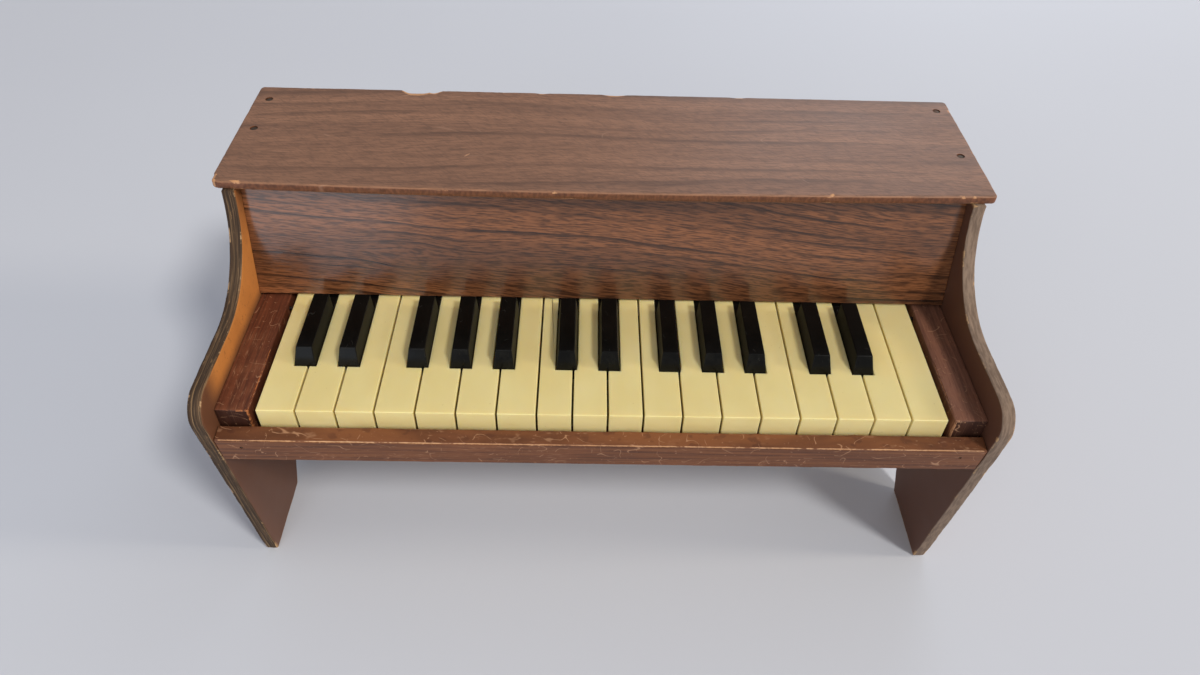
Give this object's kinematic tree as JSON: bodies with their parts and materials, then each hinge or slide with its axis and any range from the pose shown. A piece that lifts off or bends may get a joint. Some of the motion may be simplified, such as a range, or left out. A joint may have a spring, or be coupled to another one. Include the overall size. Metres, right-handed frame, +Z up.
{
  "type": "toy piano",
  "caption": "Tabletop toy piano: shaped plywood sides, nailed lid and slanted fallboard around lever keys on a pivot rod, whose hammer posts strike steel tone rods in a cast bar.",
  "frame": {"origin": "on the floor, under the middle of the piano's box", "axes": "+X along the keyboard towards the high notes, +Y from the player to the back, +Z up"},
  "size_m": [0.4738, 0.2372, 0.2355],
  "materials": {
    "side_wood": "brown woodgrain face, plywood edge",
    "lid_wood": "satin brown woodgrain",
    "fallboard_wood": "semi-gloss brown woodgrain",
    "stained_wood": "worn red-brown stain",
    "inner_wood": "bare softwood",
    "hardboard": "smooth brown hardboard",
    "ivory_plastic": "aged ivory, glossy",
    "black_plastic": "glossy black",
    "bright_steel": "drawn steel",
    "dark_steel": "darkened steel",
    "cast_bar": "rough cast",
    "felt": "red felt"
  },
  "bodies": {
    "case": {"side_panel_left": "side_wood", "side_panel_right": "side_wood", "lid": "lid_wood", "fallboard": "fallboard_wood", "front_rail": "stained_wood", "cheek_left": "stained_wood", "cheek_right": "stained_wood", "key_bed": "inner_wood", "cleat_left": "inner_wood", "cleat_right": "inner_wood", "pivot_rail": "inner_wood", "rest_rail": "inner_wood", "back_panel": "hardboard", "pivot_rod": "bright_steel", "pivot_hangers": "bright_steel", "tone_rods": "bright_steel", "sound_bar": "cast_bar", "bar_screws": "dark_steel", "lid_nails": "dark_steel", "back_nails": "dark_steel", "rail_nails": "dark_steel", "rest_felt": "felt", "front_felt": "felt"},
    "key_01_c": {"key_01_c": "ivory_plastic"},
    "key_02_c_sharp": {"key_02_c_sharp": "black_plastic"},
    "key_03_d": {"key_03_d": "ivory_plastic"},
    "key_04_d_sharp": {"key_04_d_sharp": "black_plastic"},
    "key_05_e": {"key_05_e": "ivory_plastic"},
    "key_06_f": {"key_06_f": "ivory_plastic"},
    "key_07_f_sharp": {"key_07_f_sharp": "black_plastic"},
    "key_08_g": {"key_08_g": "ivory_plastic"},
    "key_09_g_sharp": {"key_09_g_sharp": "black_plastic"},
    "key_10_a": {"key_10_a": "ivory_plastic"},
    "key_11_a_sharp": {"key_11_a_sharp": "black_plastic"},
    "key_12_b": {"key_12_b": "ivory_plastic"},
    "key_13_c": {"key_13_c": "ivory_plastic"},
    "key_14_c_sharp": {"key_14_c_sharp": "black_plastic"},
    "key_15_d": {"key_15_d": "ivory_plastic"},
    "key_16_d_sharp": {"key_16_d_sharp": "black_plastic"},
    "key_17_e": {"key_17_e": "ivory_plastic"},
    "key_18_f": {"key_18_f": "ivory_plastic"},
    "key_19_f_sharp": {"key_19_f_sharp": "black_plastic"},
    "key_20_g": {"key_20_g": "ivory_plastic"},
    "key_21_g_sharp": {"key_21_g_sharp": "black_plastic"},
    "key_22_a": {"key_22_a": "ivory_plastic"},
    "key_23_a_sharp": {"key_23_a_sharp": "black_plastic"},
    "key_24_b": {"key_24_b": "ivory_plastic"},
    "key_25_c": {"key_25_c": "ivory_plastic"},
    "key_26_c_sharp": {"key_26_c_sharp": "black_plastic"},
    "key_27_d": {"key_27_d": "ivory_plastic"},
    "key_28_d_sharp": {"key_28_d_sharp": "black_plastic"},
    "key_29_e": {"key_29_e": "ivory_plastic"},
    "key_30_f": {"key_30_f": "ivory_plastic"}
  },
  "joints": [
    {"name": "key_01_c_dip", "type": "hinge", "parent": "case", "child": "key_01_c", "pos_m": [0, -0.01292, 0.15], "axis": [1, 0, 0], "range_deg": [0, 4]},
    {"name": "key_02_c_sharp_dip", "type": "hinge", "parent": "case", "child": "key_02_c_sharp", "pos_m": [0, -0.01292, 0.15], "axis": [1, 0, 0], "range_deg": [0, 4]},
    {"name": "key_03_d_dip", "type": "hinge", "parent": "case", "child": "key_03_d", "pos_m": [0, -0.01292, 0.15], "axis": [1, 0, 0], "range_deg": [0, 4]},
    {"name": "key_04_d_sharp_dip", "type": "hinge", "parent": "case", "child": "key_04_d_sharp", "pos_m": [0, -0.01292, 0.15], "axis": [1, 0, 0], "range_deg": [0, 4]},
    {"name": "key_05_e_dip", "type": "hinge", "parent": "case", "child": "key_05_e", "pos_m": [0, -0.01292, 0.15], "axis": [1, 0, 0], "range_deg": [0, 4]},
    {"name": "key_06_f_dip", "type": "hinge", "parent": "case", "child": "key_06_f", "pos_m": [0, -0.01292, 0.15], "axis": [1, 0, 0], "range_deg": [0, 4]},
    {"name": "key_07_f_sharp_dip", "type": "hinge", "parent": "case", "child": "key_07_f_sharp", "pos_m": [0, -0.01292, 0.15], "axis": [1, 0, 0], "range_deg": [0, 4]},
    {"name": "key_08_g_dip", "type": "hinge", "parent": "case", "child": "key_08_g", "pos_m": [0, -0.01292, 0.15], "axis": [1, 0, 0], "range_deg": [0, 4]},
    {"name": "key_09_g_sharp_dip", "type": "hinge", "parent": "case", "child": "key_09_g_sharp", "pos_m": [0, -0.01292, 0.15], "axis": [1, 0, 0], "range_deg": [0, 4]},
    {"name": "key_10_a_dip", "type": "hinge", "parent": "case", "child": "key_10_a", "pos_m": [0, -0.01292, 0.15], "axis": [1, 0, 0], "range_deg": [0, 4]},
    {"name": "key_11_a_sharp_dip", "type": "hinge", "parent": "case", "child": "key_11_a_sharp", "pos_m": [0, -0.01292, 0.15], "axis": [1, 0, 0], "range_deg": [0, 4]},
    {"name": "key_12_b_dip", "type": "hinge", "parent": "case", "child": "key_12_b", "pos_m": [0, -0.01292, 0.15], "axis": [1, 0, 0], "range_deg": [0, 4]},
    {"name": "key_13_c_dip", "type": "hinge", "parent": "case", "child": "key_13_c", "pos_m": [0, -0.01292, 0.15], "axis": [1, 0, 0], "range_deg": [0, 4]},
    {"name": "key_14_c_sharp_dip", "type": "hinge", "parent": "case", "child": "key_14_c_sharp", "pos_m": [0, -0.01292, 0.15], "axis": [1, 0, 0], "range_deg": [0, 4]},
    {"name": "key_15_d_dip", "type": "hinge", "parent": "case", "child": "key_15_d", "pos_m": [0, -0.01292, 0.15], "axis": [1, 0, 0], "range_deg": [0, 4]},
    {"name": "key_16_d_sharp_dip", "type": "hinge", "parent": "case", "child": "key_16_d_sharp", "pos_m": [0, -0.01292, 0.15], "axis": [1, 0, 0], "range_deg": [0, 4]},
    {"name": "key_17_e_dip", "type": "hinge", "parent": "case", "child": "key_17_e", "pos_m": [0, -0.01292, 0.15], "axis": [1, 0, 0], "range_deg": [0, 4]},
    {"name": "key_18_f_dip", "type": "hinge", "parent": "case", "child": "key_18_f", "pos_m": [0, -0.01292, 0.15], "axis": [1, 0, 0], "range_deg": [0, 4]},
    {"name": "key_19_f_sharp_dip", "type": "hinge", "parent": "case", "child": "key_19_f_sharp", "pos_m": [0, -0.01292, 0.15], "axis": [1, 0, 0], "range_deg": [0, 4]},
    {"name": "key_20_g_dip", "type": "hinge", "parent": "case", "child": "key_20_g", "pos_m": [0, -0.01292, 0.15], "axis": [1, 0, 0], "range_deg": [0, 4]},
    {"name": "key_21_g_sharp_dip", "type": "hinge", "parent": "case", "child": "key_21_g_sharp", "pos_m": [0, -0.01292, 0.15], "axis": [1, 0, 0], "range_deg": [0, 4]},
    {"name": "key_22_a_dip", "type": "hinge", "parent": "case", "child": "key_22_a", "pos_m": [0, -0.01292, 0.15], "axis": [1, 0, 0], "range_deg": [0, 4]},
    {"name": "key_23_a_sharp_dip", "type": "hinge", "parent": "case", "child": "key_23_a_sharp", "pos_m": [0, -0.01292, 0.15], "axis": [1, 0, 0], "range_deg": [0, 4]},
    {"name": "key_24_b_dip", "type": "hinge", "parent": "case", "child": "key_24_b", "pos_m": [0, -0.01292, 0.15], "axis": [1, 0, 0], "range_deg": [0, 4]},
    {"name": "key_25_c_dip", "type": "hinge", "parent": "case", "child": "key_25_c", "pos_m": [0, -0.01292, 0.15], "axis": [1, 0, 0], "range_deg": [0, 4]},
    {"name": "key_26_c_sharp_dip", "type": "hinge", "parent": "case", "child": "key_26_c_sharp", "pos_m": [0, -0.01292, 0.15], "axis": [1, 0, 0], "range_deg": [0, 4]},
    {"name": "key_27_d_dip", "type": "hinge", "parent": "case", "child": "key_27_d", "pos_m": [0, -0.01292, 0.15], "axis": [1, 0, 0], "range_deg": [0, 4]},
    {"name": "key_28_d_sharp_dip", "type": "hinge", "parent": "case", "child": "key_28_d_sharp", "pos_m": [0, -0.01292, 0.15], "axis": [1, 0, 0], "range_deg": [0, 4]},
    {"name": "key_29_e_dip", "type": "hinge", "parent": "case", "child": "key_29_e", "pos_m": [0, -0.01292, 0.15], "axis": [1, 0, 0], "range_deg": [0, 4]},
    {"name": "key_30_f_dip", "type": "hinge", "parent": "case", "child": "key_30_f", "pos_m": [0, -0.01292, 0.15], "axis": [1, 0, 0], "range_deg": [0, 4]}
  ]
}
